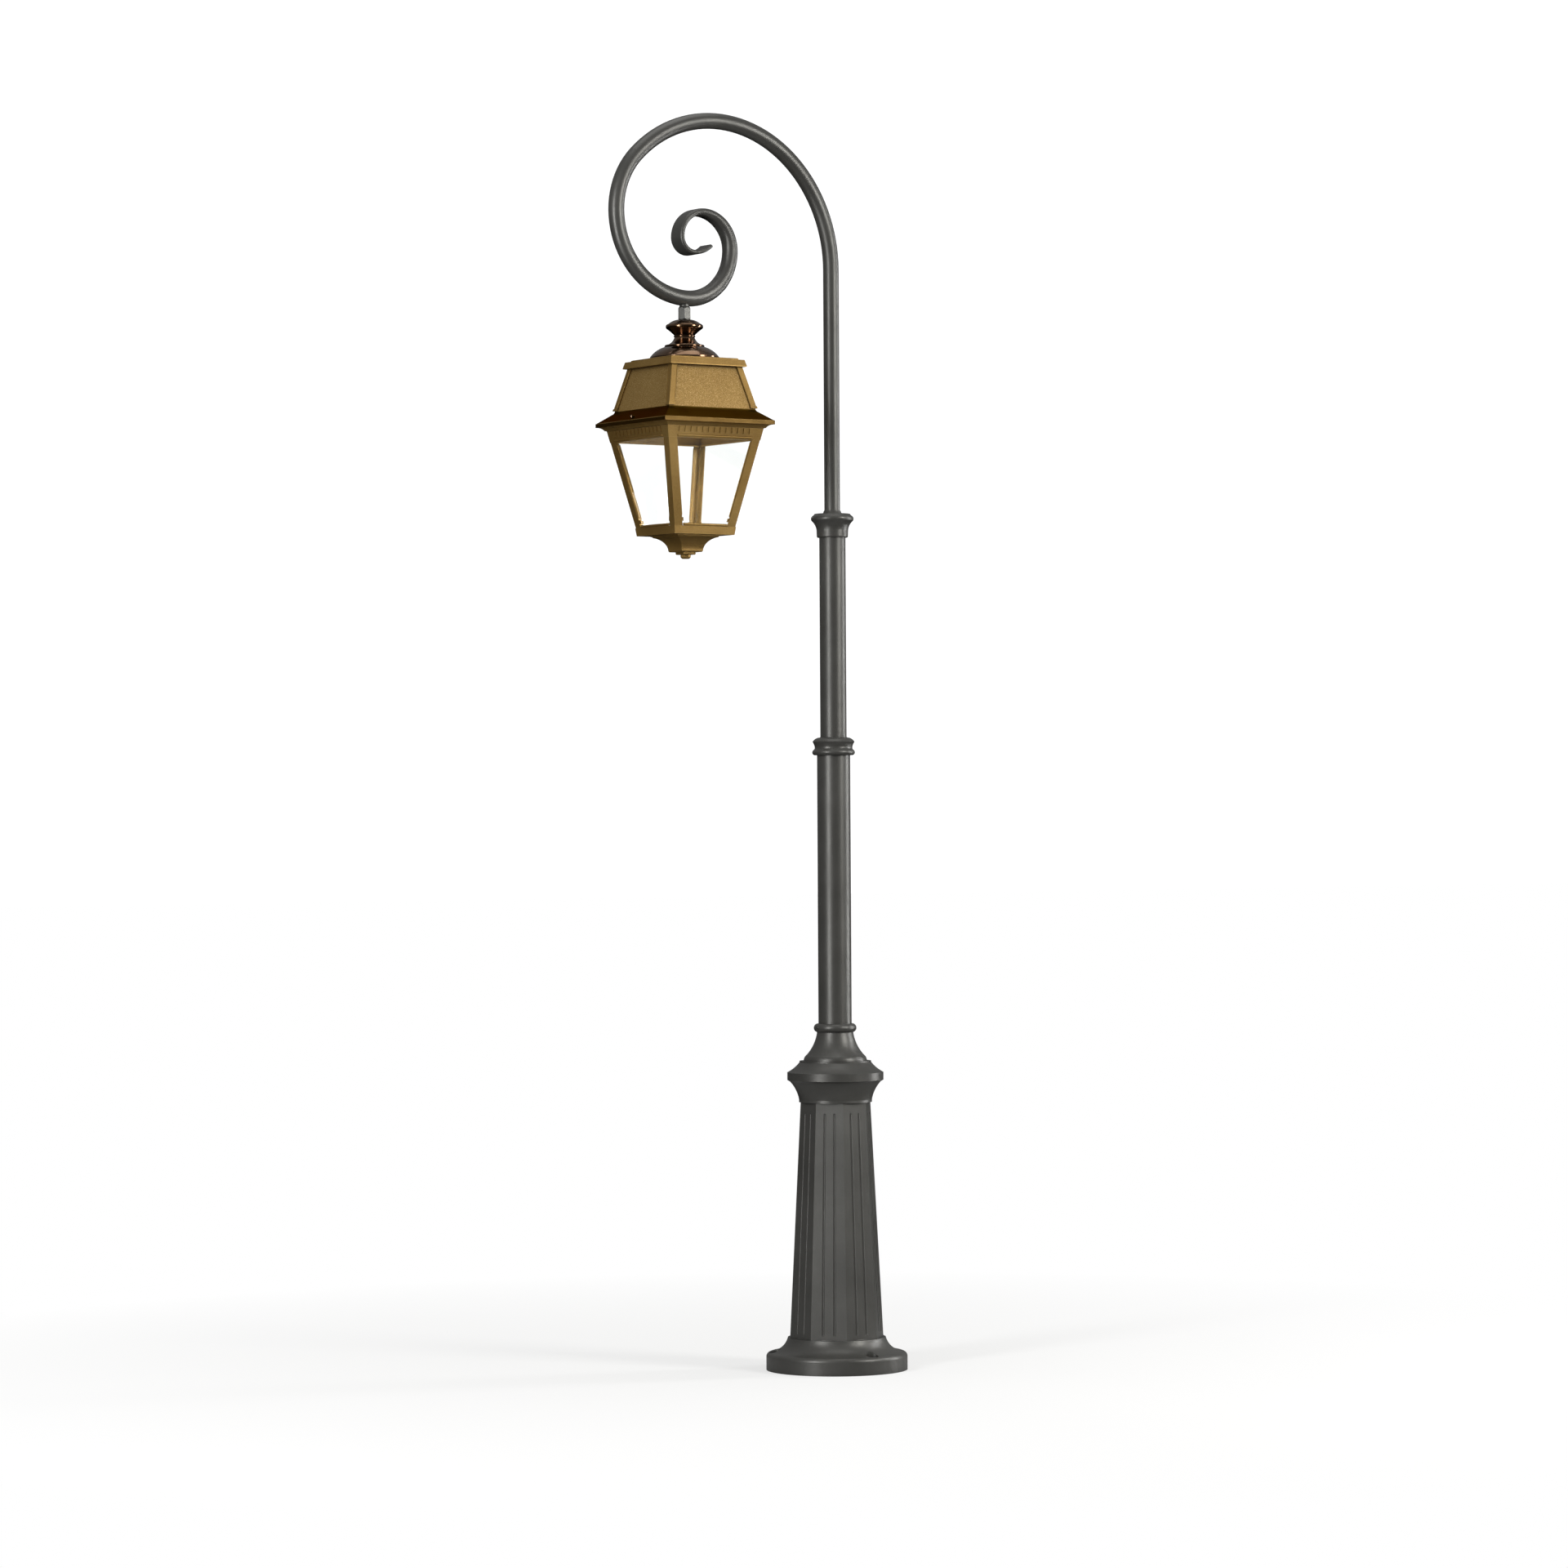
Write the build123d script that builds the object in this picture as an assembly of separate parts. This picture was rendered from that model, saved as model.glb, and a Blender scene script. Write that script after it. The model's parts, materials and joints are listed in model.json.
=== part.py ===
"""Street lamp post: bell foot, fluted octagonal plinth, stepped tube shaft, scroll arm and hanging lantern.

Millimetres.  The origin is the centre of the foot's underside, +Z is up and the lantern hangs on the -X side.
The lantern's parts are drawn about their own vertical axis and moved out to it when they are written.
"""
from build123d import *
import math
import os

# ---------------------------------------------------------------- driving dimensions
# foot and plinth
FOOT_R = 161.5
FOOT_BORE_R = 90.0
FOOT_TOP_Z = 74.0
ANCHOR_PCD = 282.0
ANCHOR_HOLE_R = 7.0
ANCHOR_ANGLES = (-90.0, 30.0, 150.0)
SPOTFACE_R = 15.0
SPOTFACE_Z = 34.0
PLINTH_TOP_Z = 611.0
PLINTH_R_BOTTOM = 109.0
PLINTH_R_TOP = 81.5
PLINTH_WALL = 7.0
FLUTE_SPREAD_BOTTOM = 13.4
FLUTE_SPREAD_TOP = 11.0
FLUTE_R = 3.25
FLUTE_DEPTH = 2.0
FLUTE_Z = (87.0, 585.0)
CAPITAL_TOP_Z = 705.0
NECK_TOP_Z = 790.0
RING_Z = 780.0

# shaft
LOWER_R = 38.05
UPPER_R = 30.15
ARM_R = 18.0
TUBE_WALL = 3.0
RUNNING = 0.05
SEAT_GAP = 0.3
LOWER_Z = (712.0, 1412.0)
UPPER_Z = (1390.0, 1912.0)
MID_COLLAR_Z = (1403.7, 1444.0)
TOP_COLLAR_Z = (1902.0, 1962.0)
ARM_Z = (1925.0, 2515.0)

# scroll: radius and sweep of each tangent arc, from the vertical leg inwards
SCROLL_ROUND = ((322.0, 45.0), (311.0, 45.0), (300.0, 45.0), (180.0, 45.0), (189.0, 90.0), (113.5, 45.0))
SCROLL_FLAT = ((113.5, 45.0), (82.0, 90.0), (58.0, 90.0), (34.5, 90.0), (62.0, 43.0))
# in-plane thickness and width across the scroll at the end of each flattened arc
FLAT_START = (36.0, 36.0)
FLAT_ENDS = ((33.0, 37.5), (16.0, 44.0), (11.5, 47.0), (9.5, 49.0), (8.0, 50.0))
STATION_STEP = 9.0

# lantern: its axis and the half widths of its square outline
LANTERN_X = -400.0
STEM_R = 8.0
STEM_BORE_R = 5.0
CABLE_R = 3.0
HANGER_Z = (2381.0, 2411.4)
FINIAL_TOP_Z = 2380.7
FINIAL_SEAM_Z = 2342.0
CAP_PLATE_Z = (2288.0, 2292.0)
CAP_BAND_Z = 2272.6
ROOF_Z = 2177.0
ROOF_HALF = 114.3
ROOF_TOP_HALF = 90.5
SHEET = 2.5
EAVE_Z = 2142.0
EAVE_HALF = 145.9
SOFFIT_Z = 2134.0
SOFFIT_INNER = 124.0
CAGE_TOP_Z = SOFFIT_Z - SEAT_GAP
GLASS_TOP_Z = 2107.0
GLASS_BOTTOM_Z = 1914.0
CAGE_BOTTOM_Z = 1896.0
CAGE_REF = (121.0, 2106.0)
CAGE_TAPER = 0.2094
POST_LEG = 21.0
POST_WALL = 3.0
GLASS_T = 4.0
BEAD_R = 2.9
DENTILS = 13
DENTIL_PITCH = 15.5
DENTIL_W = 7.5
DENTIL_PROUD = 1.8
PAN_HALF = 57.0
PAN_BOTTOM_Z = 1859.0
KNOB_Z = (1844.0, 1853.0)

# cage hinge on the +X side and closing screw on the -X side, in lantern coordinates
HINGE_X = 132.5
HINGE_Z = 2129.0
KNUCKLE_R = 4.0
PIN_R = 1.8
HINGE_HALF_LENGTH = 30.0
SCREW_Z = 2158.0
SCREW_R = 2.0
TAB_X = (-119.0, -117.0)

UP = (Align.CENTER, Align.CENTER, Align.MIN)


# ---------------------------------------------------------------- shape helpers
def cyl(radius, z0, z1, x=0.0, y=0.0):
    """Upright cylinder between two heights."""
    return Pos(x, y, z0) * Cylinder(radius, z1 - z0, align=UP)


def box(x, y, z):
    """Box from three (low, high) pairs."""
    centre = [(span[0] + span[1]) / 2 for span in (x, y, z)]
    return Pos(*centre) * Box(x[1] - x[0], y[1] - y[0], z[1] - z[0])


def rod(start, end, radius):
    """Cylinder between two points."""
    start, end = Vector(*start), Vector(*end)
    along = end - start
    return Plane(origin=start, z_dir=along) * Cylinder(radius, along.length, align=UP)


def capsule(start, end, radius):
    """Cylinder between two points with a ball at each end."""
    return rod(start, end, radius) + Pos(*start) * Sphere(radius) + Pos(*end) * Sphere(radius)


def chain(start, steps):
    """Edges from start: a step is a point, or a (middle, end) pair of points for an arc."""
    edges = []
    here = start
    for step in steps:
        if isinstance(step[0], tuple):
            middle, there = step
            edges.append(ThreePointArc(here, middle, there))
        else:
            there = step
            edges.append(Line(here, there))
        here = there
    return edges


def turned(start, *steps):
    """Revolve a closed outline of (radius, z) steps about the Z axis."""
    outline = make_face(chain(start, steps + (start,)))
    return revolve(Plane.XZ * outline, Axis.Z)


def squared(start, *steps):
    """Mitred body of square plan whose half width follows (half, z) steps from bottom to top."""
    right = chain(start, steps)
    top = steps[-1][-1] if isinstance(steps[-1][0], tuple) else steps[-1]
    edges = right + [edge.mirror(Plane.YZ) for edge in right]
    edges.append(Line((-start[0], start[1]), start))
    edges.append(Line((-top[0], top[1]), top))
    reach = 2 * EAVE_HALF
    across = extrude(Plane.XZ * make_face(edges), amount=reach, both=True)
    return across & across.rotate(Axis.Z, 90)


def tapered(rect0, z0, rect1, z1):
    """Straight-sided body between two (x0, x1, y0, y1) rectangles."""
    faces = []
    for (x0, x1, y0, y1), z in ((rect0, z0), (rect1, z1)):
        faces.append(Pos((x0 + x1) / 2, (y0 + y1) / 2, z) * Rectangle(x1 - x0, y1 - y0))
    return loft(faces, ruled=True)


def side_copies(body):
    """The same body on all four sides of the lantern, starting from the one given."""
    return [body.rotate(Axis.Z, 90 * turn) for turn in range(4)]


def cage_half(z):
    """Half width of the cage's outer planes at a height."""
    return CAGE_REF[0] - (CAGE_REF[1] - z) * CAGE_TAPER


def group(bodies):
    """Several separate solids as one node."""
    return Compound([solid for body in bodies for solid in body.solids()])


def polygon(radius, sides, z0, z1):
    """Upright regular prism."""
    return extrude(Pos(0, 0, z0) * RegularPolygon(radius, sides), amount=z1 - z0)


def chamfered_hex(radius, z0, z1, drop):
    """Hexagonal coupling with its corners turned off at both ends."""
    cone = turned((0, z0), (radius - drop, z0), (radius, z0 + drop), (radius, z1 - 2 * drop),
                  (radius - 1.6 * drop, z1), (0, z1))
    return polygon(radius, 6, z0, z1) & cone


# ---------------------------------------------------------------- foot and plinth
def base_flange():
    body = turned((FOOT_BORE_R, 0), (FOOT_R, 0), (FOOT_R, 30), ((159.4, 36.2), (153, 40)),
                  ((126.6, 50.6), (112, FOOT_TOP_Z)), (FOOT_BORE_R, FOOT_TOP_Z))
    for angle in ANCHOR_ANGLES:
        x = ANCHOR_PCD / 2 * math.cos(math.radians(angle))
        y = ANCHOR_PCD / 2 * math.sin(math.radians(angle))
        body -= cyl(ANCHOR_HOLE_R, -1, SPOTFACE_Z + 1, x, y)
        body -= cyl(SPOTFACE_R, SPOTFACE_Z, FOOT_TOP_Z, x, y)
    return body


def octagon_loft(inset):
    """Tapered octagon with a flat towards -Y, drawn in from the outer faces by inset."""
    corner = inset / math.cos(math.pi / 8)
    bottom = Pos(0, 0, FOOT_TOP_Z) * Rot(0, 0, 22.5) * RegularPolygon(PLINTH_R_BOTTOM - corner, 8)
    top = Pos(0, 0, PLINTH_TOP_Z) * Rot(0, 0, 22.5) * RegularPolygon(PLINTH_R_TOP - corner, 8)
    return loft([bottom, top], ruled=True)


def plinth_apothem(z):
    """Distance from the axis to a plinth face at a height."""
    share = (z - FOOT_TOP_Z) / (PLINTH_TOP_Z - FOOT_TOP_Z)
    return (PLINTH_R_BOTTOM + (PLINTH_R_TOP - PLINTH_R_BOTTOM) * share) * math.cos(math.pi / 8)


def flute(side, face):
    """Cutter for one round-ended groove, left or right of the middle of a plinth face."""
    lift = FLUTE_R - FLUTE_DEPTH
    ends = []
    for z, spread in zip(FLUTE_Z, (FLUTE_SPREAD_BOTTOM, FLUTE_SPREAD_TOP)):
        ends.append((plinth_apothem(z) + lift, side * spread, z))
    return capsule(ends[0], ends[1], FLUTE_R).rotate(Axis.Z, 45 * face)


def plinth_shaft():
    body = octagon_loft(0) - octagon_loft(PLINTH_WALL)
    for face in range(8):
        body -= flute(-1, face) + flute(1, face)
    return body


def plinth_capital():
    return turned((66, PLINTH_TOP_Z), (83.5, PLINTH_TOP_Z), (83.5, 617), ((89.2, 635.5), (104, 658)),
                  (110, 661.5), (110, 679), ((94.2, 689.4), (82, 702)), (82, CAPITAL_TOP_Z),
                  (60, CAPITAL_TOP_Z), (60, 698), (66, 692))


def neck_screw(direction, tip, reach, radius):
    """Radial grub screw with a hex socket, pointing at the shaft."""
    screw = rod((direction * tip, 0, RING_Z), (direction * reach, 0, RING_Z), radius)
    socket = Plane(origin=(direction * (reach - 3), 0, RING_Z), z_dir=(direction, 0, 0))
    return screw - extrude(socket * RegularPolygon(1.7, 6), amount=4)


def plinth_neck():
    body = turned((33, CAPITAL_TOP_Z), (72.5, CAPITAL_TOP_Z), ((71.2, 711.5), (65.7, 718.6)),
                  ((50.2, 741.5), (41.7, 769)), (41.7, 770.5), ((48.8, RING_Z), (41.7, NECK_TOP_Z)),
                  (LOWER_R + RUNNING, NECK_TOP_Z), (LOWER_R + RUNNING, LOWER_Z[0] - SEAT_GAP),
                  (33, LOWER_Z[0] - SEAT_GAP))
    for direction in (-1, 1):
        body -= rod((direction * 30, 0, RING_Z), (direction * 60, 0, RING_Z), 3.0 + RUNNING)
    return body


def gear_tray():
    """Plate across the plinth that carries the junction box, with a slot for the cable from the ground."""
    plate = extrude(Pos(0, 0, 426) * Rot(0, 0, 22.5) * RegularPolygon(76.5 / math.cos(math.pi / 8), 8), amount=4)
    return plate - box((-20, 20), (-66, -42), (420, 436)) - cyl(3.0 + RUNNING, 420, 436, 52, 0)


def earth_stud():
    return cyl(3.0, 420, 448, 52, 0) + Pos(52, 0, 0) * polygon(5.8, 6, 430, 435)


def junction_box():
    body = box((-35, 35), (-28, 28), (430, 530))
    body -= box((-31, 31), (-30, 24), (434, 526))
    return body - cyl(5, 520, 535)


def junction_lid():
    return box((-35, 35), (-31, -28), (430, 530))


def terminal_strip():
    """Five-way terminal strip on the back of the junction box."""
    ways = [box((x, x + 9), (6, 24), (470, 492)) for x in (-25, -15, -5, 5, 15)]
    return box((-26, 25), (22, 24), (466, 496)) + ways


def box_gland():
    body = polygon(11, 6, 530, 538) + cyl(8, 538, 552)
    return body - cyl(CABLE_R + 1, 529, 548)


# ---------------------------------------------------------------- shaft
def tube(radius, span):
    return cyl(radius, *span) - cyl(radius - TUBE_WALL, *span)


def mid_collar():
    z0, z1 = MID_COLLAR_Z
    return turned((LOWER_R, z0), (43.5, z0), ((49, 1410), (45.6, 1416)), (43.3, 1419), (43.3, 1423),
                  ((45.2, 1429), (48.3, 1434.5)), ((45, 1438.6), (40.5, 1442)), (36, z1), (UPPER_R, z1),
                  (UPPER_R, LOWER_Z[1]), (LOWER_R, LOWER_Z[1]))


def top_collar():
    z0, z1 = TOP_COLLAR_Z
    return turned((UPPER_R, z0), (34.5, z0), (35.8, 1904), (36.4, 1919), ((39.6, 1930), (46.5, 1939)),
                  ((48.9, 1945), (46.5, 1950.5)), (42, 1954), (41, 1956), (22, 1956), (19.6, z1),
                  (ARM_R, z1), (ARM_R, ARM_Z[0]), (14, ARM_Z[0]), (14, UPPER_Z[1]), (UPPER_R, UPPER_Z[1]))


def arc_step(here, heading, radius, sweep):
    """Centre, end point and end heading of a tangent arc in the XZ plane; a negative sweep turns back."""
    side = math.copysign(1, sweep)
    to_centre = math.radians(heading + 90 * side)
    centre = (here[0] + radius * math.cos(to_centre), here[1] + radius * math.sin(to_centre))
    out = to_centre + math.pi + math.radians(sweep)
    end = (centre[0] + radius * math.cos(out), centre[1] + radius * math.sin(out))
    return centre, end, heading + sweep


def section_plane(here, heading):
    """Plane square to the scroll at a point: its x axis lies in the scroll, its y axis across it."""
    angle = math.radians(heading)
    return Plane(origin=(here[0], 0, here[1]), x_dir=(-math.sin(angle), 0, math.cos(angle)),
                 z_dir=(math.cos(angle), 0, math.sin(angle)))


def round_run(section, arcs, here, heading):
    """Sweep a round section round tangent arcs, each one a part turn of a ring."""
    pieces = []
    for radius, sweep in arcs:
        centre, end, turned_to = arc_step(here, heading, radius, sweep)
        axis = Axis((centre[0], 0, centre[1]), (0, -math.copysign(1, sweep), 0))
        pieces.append(revolve(section_plane(here, heading) * section, axis, revolution_arc=abs(sweep)))
        here, heading = end, turned_to
    return pieces, here, heading


def flat_section(here, heading, thickness, width):
    corner = 0.495 * min(thickness, width)
    return section_plane(here, heading) * RectangleRounded(thickness, width, corner)


def flattened_end(here, heading):
    """The hammered end of the scroll, through a section every few degrees."""
    size = FLAT_START
    sections = [flat_section(here, heading, *size)]
    for (radius, sweep), target in zip(SCROLL_FLAT, FLAT_ENDS):
        count = round(sweep / STATION_STEP)
        for step in range(count):
            share = (step + 1) / count
            _, here, heading = arc_step(here, heading, radius, sweep / count)
            now = [a + (b - a) * share for a, b in zip(size, target)]
            sections.append(flat_section(here, heading, *now))
        size = target
    return loft(sections)


def scroll_arm():
    leg = tube(ARM_R, ARM_Z)
    ring = Circle(ARM_R) - Circle(ARM_R - TUBE_WALL)
    bends, here, heading = round_run(ring, SCROLL_ROUND, (0, ARM_Z[1]), 90)
    boss = cyl(11, HANGER_Z[1], 2417, LANTERN_X)
    body = leg + bends + flattened_end(here, heading) + boss
    return body - cyl(STEM_R, HANGER_Z[1] - 1, 2424, LANTERN_X)


def hanger_coupling():
    return chamfered_hex(15.5, *HANGER_Z, 3.0) - cyl(STEM_R, 2370, 2420)


def hanger_stem():
    return cyl(STEM_R, 2270, 2421) - cyl(STEM_BORE_R, 2260, 2430)


def stem_nut():
    return chamfered_hex(14.0, 2275.5, 2282.5, 1.0) - cyl(STEM_R, 2270, 2290)


def stem_washer():
    return cyl(17, 2282.7, 2284.7) - cyl(STEM_R, 2280, 2290)


def supply_cable():
    """Cable from the junction box up the post, round the scroll and down through the stem."""
    bend = 14.0
    outer = SCROLL_ROUND[4][0]
    centre_to_stem = 9.9
    leave = math.degrees(math.acos((bend + centre_to_stem) / (outer + bend)))
    arcs = SCROLL_ROUND[:4] + ((outer, leave), (bend, -leave))
    bends, here, _ = round_run(Circle(CABLE_R), arcs, (0, ARM_Z[1]), 90)
    return cyl(CABLE_R, 553, ARM_Z[1]) + bends + cyl(CABLE_R, 2262, here[1], here[0])


# ---------------------------------------------------------------- lantern head
def stem_hole(body):
    return body - cyl(STEM_R + RUNNING, 2260, 2400)


def finial_upper():
    return turned((STEM_R + RUNNING, FINIAL_SEAM_Z), (23.5, FINIAL_SEAM_Z), ((24.6, 2343.6), (22.4, 2345.4)),
                  ((28.8, 2351.6), (38.4, 2359.5)), ((42.3, 2365.5), (36.5, 2371.5)),
                  ((28, 2377.4), (18, FINIAL_TOP_Z)), (STEM_R + RUNNING, FINIAL_TOP_Z))


def finial_lower():
    foot = CAP_PLATE_Z[1]
    return turned((STEM_R + RUNNING, foot), (78, foot), (78, 2296.5), ((61.8, 2312), (44.5, 2319.6)),
                  ((45, 2322.2), (41, 2324)), ((28.5, 2331.5), (22.6, FINIAL_SEAM_Z)),
                  (STEM_R + RUNNING, FINIAL_SEAM_Z))


def cap_plate():
    return stem_hole(squared((87.5, CAP_PLATE_Z[0]), (87.5, 2290.5), (86, CAP_PLATE_Z[1])))


def cap_band():
    body = squared((101, CAP_BAND_Z), (101, CAP_BAND_Z + 2), (97.3, CAP_PLATE_Z[0]))
    body -= squared((95, CAP_BAND_Z + 3), (94, 2285))
    body -= squared((70, CAP_BAND_Z - 1), (70, CAP_BAND_Z + 4))
    return stem_hole(body)


def roof_outer(z0, z1, inset):
    slope = (ROOF_HALF - ROOF_TOP_HALF) / (CAP_BAND_Z - ROOF_Z)
    halves = [ROOF_HALF - (z - ROOF_Z) * slope - inset for z in (z0, z1)]
    return squared((halves[0], z0), (halves[1], z1))


def roof_shell():
    flange_z = CAP_BAND_Z - 3
    body = roof_outer(ROOF_Z, CAP_BAND_Z, 0)
    body -= roof_outer(ROOF_Z - 1, flange_z, SHEET)
    return body - squared((72, flange_z - 1), (72, CAP_BAND_Z + 1))


def corner_tapers(z0, half0, z1, half1, leg):
    """Four square bodies that follow the lantern's corners, leg wide."""
    bodies = []
    for sx, sy in ((1, 1), (-1, 1), (-1, -1), (1, -1)):
        rects = []
        for half in (half0, half1):
            xs = sorted((sx * half, sx * (half - leg)))
            ys = sorted((sy * half, sy * (half - leg)))
            rects.append((*xs, *ys))
        bodies.append(tapered(rects[0], z0, rects[1], z1))
    return bodies


def roof_hip_strips():
    """Angle strips over the four hips, each with a thicker foot."""
    proud = 3.0
    z0, z1 = ROOF_Z + 1.5, CAP_BAND_Z - 0.5
    slope = (ROOF_HALF - ROOF_TOP_HALF) / (CAP_BAND_Z - ROOF_Z)
    strips = []
    for low, high, leg, extra in ((z0, z1, 15.0, 0.0), (z0, z0 + 5, 17.5, 1.2)):
        cover = roof_outer(low, high, -proud - extra) - roof_outer(low, high, 0)
        halves = [ROOF_HALF - (z - ROOF_Z) * slope + proud + extra for z in (low, high)]
        strips.append([cover & corner for corner in corner_tapers(low, halves[0], high, halves[1], leg)])
    return group([strip + foot for strip, foot in zip(*strips)])


def skirt_profile(inset):
    """Eave outline: short vertical rim, straight slope and a small hollow against the roof."""
    lip = EAVE_Z if inset == 0 else EAVE_Z - 1
    return squared((EAVE_HALF - inset, lip), (EAVE_HALF - inset, 2150 - 0.7 * inset),
                   (119 - inset, 2170.5 - 0.7 * inset),
                   ((115.8 - inset, 2173.4 - 0.4 * inset), (ROOF_HALF - inset, ROOF_Z)))


def eave_skirt():
    shell = skirt_profile(0) - skirt_profile(SHEET)
    boss = rod((-136, 0, SCREW_Z), (-141.5, 0, SCREW_Z), 4.6) - skirt_profile(SHEET)
    bore = rod((-120, 0, SCREW_Z), (-150, 0, SCREW_Z), SCREW_R + RUNNING)
    return shell + boss - bore


def skirt_soffit():
    """Moulding under the rim, against which the cage closes."""
    ring = squared((131, SOFFIT_Z), ((135, 2138.7), (EAVE_HALF - SHEET, EAVE_Z)))
    return ring - squared((SOFFIT_INNER, SOFFIT_Z - 1), (SOFFIT_INNER, EAVE_Z + 1))


def soffit_plate():
    """Tray that closes the roof and carries the lamp, notched for the cage's catch."""
    plate = squared((131, EAVE_Z), (131, EAVE_Z + 2.5))
    return plate - box((-126, -106), (-12, 12), (2140, 2150))


def hole_pattern(half, radius, z0, z1):
    return [cyl(radius, z0, z1, x, y) for x in (-half, half) for y in (-half, half)]


def led_board():
    return box((-65, 65), (-65, 65), (2140.4, EAVE_Z)) - hole_pattern(58, 1.6, 2130, 2150)


def led_chips():
    places = [-42, -14, 14, 42]
    return group([box((x - 3, x + 3), (y - 3, y + 3), (2139.2, 2140.4)) for x in places for y in places])


def led_lens():
    return squared((78, 2130), (80, 2134), (80, EAVE_Z)) - squared((76, 2132.4), (77.6, EAVE_Z + 1))


def board_screws():
    bodies = []
    for x in (-58, 58):
        for y in (-58, 58):
            bodies.append(cyl(1.55, 2138.8, 2142, x, y) + cyl(2.8, 2138.4, 2140.4, x, y))
    return group(bodies)


def driver():
    body = box((-55, 55), (-35, 35), (EAVE_Z + 2.5, 2172))
    return fillet(body.edges().filter_by(Axis.Z), 4)


def driver_lead():
    return cyl(CABLE_R, 2172, 2236)


def lamp_connector():
    return box((-12, 12), (-8, 8), (2236, 2261.7)) + cyl(6, 2230, 2236) - cyl(CABLE_R, 2229, 2236)


# ---------------------------------------------------------------- cage hinge and closing screw
def knuckle(y0, y1, bore):
    return rod((HINGE_X, y0, HINGE_Z), (HINGE_X, y1, HINGE_Z), KNUCKLE_R) - hinge_bore(bore)


def hinge_bore(radius):
    return rod((HINGE_X, -60, HINGE_Z), (HINGE_X, 60, HINGE_Z), radius)


def roof_knuckles():
    """Two outer knuckles that hang from the soffit moulding."""
    bodies = []
    for y0, y1 in ((-HINGE_HALF_LENGTH, -12), (12, HINGE_HALF_LENGTH)):
        web = box((128.9, HINGE_X), (y0, y1), (HINGE_Z, SOFFIT_Z)) - hinge_bore(PIN_R)
        bodies.append(knuckle(y0, y1, PIN_R) + web)
    return group(bodies)


def hinge_pin():
    reach = HINGE_HALF_LENGTH
    shank = rod((HINGE_X, -reach, HINGE_Z), (HINGE_X, reach, HINGE_Z), PIN_R)
    return shank + rod((HINGE_X, reach, HINGE_Z), (HINGE_X, reach + 1.5, HINGE_Z), PIN_R + 1.2)


def cage_knuckle():
    web = box((123, HINGE_X), (-11.5, 11.5), (HINGE_Z - KNUCKLE_R, HINGE_Z)) - hinge_bore(PIN_R + RUNNING)
    return knuckle(-11.5, 11.5, PIN_R + RUNNING) + web - cornice_ring()


def closing_screw():
    """Dome-headed screw through the eave, whose shank the cage's slotted catch hangs on."""
    shank = rod((-141.8, 0, SCREW_Z), (-109, 0, SCREW_Z), SCREW_R)
    seat = Plane(origin=(-141.8, 0, SCREW_Z), z_dir=(-1, 0, 0))
    head = seat * turned((0, 0), (3.6, 0), (3.6, 0.8), ((2.5, 2.3), (0, 3.0)))
    drive = seat * Pos(0, 0, 1.8) * extrude(RegularPolygon(1.5, 6), amount=3)
    return shank + head - drive


def closing_nut():
    seat = Plane(origin=(-116.6, 0, SCREW_Z), z_dir=(1, 0, 0))
    flange = seat * Cylinder(6.0, 1.4, align=UP)
    body = seat * extrude(RegularPolygon(4.6, 6), amount=5.5)
    return flange + body - rod((-120, 0, SCREW_Z), (-100, 0, SCREW_Z), SCREW_R)


# ---------------------------------------------------------------- glazed cage
def cornice_ring():
    """Top frame of the cage: tapered ring with a rebate inside and a lip over the glass."""
    outer = squared((cage_half(GLASS_TOP_Z) + 0.8, GLASS_TOP_Z), (cage_half(2114.5) + 0.8, 2114.5),
                    (cage_half(CAGE_TOP_Z) + 0.8, CAGE_TOP_Z))
    inner = squared((119, GLASS_TOP_Z + 3), (119, CAGE_TOP_Z + 1))
    lip = squared((113, GLASS_TOP_Z - 1), (113, GLASS_TOP_Z + 4))
    return outer - inner - lip


def dentil_row(face_has_hinge):
    """Raised blocks along the -X face, leaving room for the hinge where there is one."""
    blocks = []
    for index in range(DENTILS):
        y = (index - (DENTILS - 1) / 2) * DENTIL_PITCH
        if face_has_hinge and abs(y) < HINGE_HALF_LENGTH + DENTIL_PITCH / 2:
            continue
        reach = [cage_half(z) + 0.8 + DENTIL_PROUD for z in (2119.5, 2131.5)]
        low = (-reach[0], -118, y - DENTIL_W / 2, y + DENTIL_W / 2)
        high = (-reach[1], -118, y - DENTIL_W / 2, y + DENTIL_W / 2)
        blocks.append(tapered(low, 2119.5, high, 2131.5))
    return blocks


def cornice():
    body = cornice_ring()
    for turn in range(4):
        inner = squared((119, GLASS_TOP_Z), (119, CAGE_TOP_Z + 1))
        for block in dentil_row(face_has_hinge=turn == 2):
            body += (block - inner).rotate(Axis.Z, 90 * turn)
    return body


def cage_gasket():
    """Seal in the cage's rebate, just under the soffit."""
    ring = squared((119, CAGE_TOP_Z - 3), (119, CAGE_TOP_Z)) - squared((116.8, 2120), (116.8, 2140))
    return ring - box((-125, -110), (-9, 9), (2120, 2140))


def catch_tab():
    """Upright strip on the cage with a slot that is open at its top."""
    strip = box(TAB_X, (-8, 8), (2113, 2163))
    slot = box((-125, -110), (-SCREW_R - 0.4, SCREW_R + 0.4), (SCREW_Z, 2170))
    return strip - slot - rod((-125, 0, SCREW_Z), (-110, 0, SCREW_Z), SCREW_R + 0.4)


def corner_posts():
    halves = [cage_half(z) for z in (GLASS_BOTTOM_Z, GLASS_TOP_Z)]
    shell = squared((halves[0], GLASS_BOTTOM_Z), (halves[1], GLASS_TOP_Z))
    shell -= squared((halves[0] - POST_WALL, GLASS_BOTTOM_Z), (halves[1] - POST_WALL, GLASS_TOP_Z))
    corners = corner_tapers(GLASS_BOTTOM_Z, halves[0], GLASS_TOP_Z, halves[1], POST_LEG)
    return group([shell & corner for corner in corners])


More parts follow.
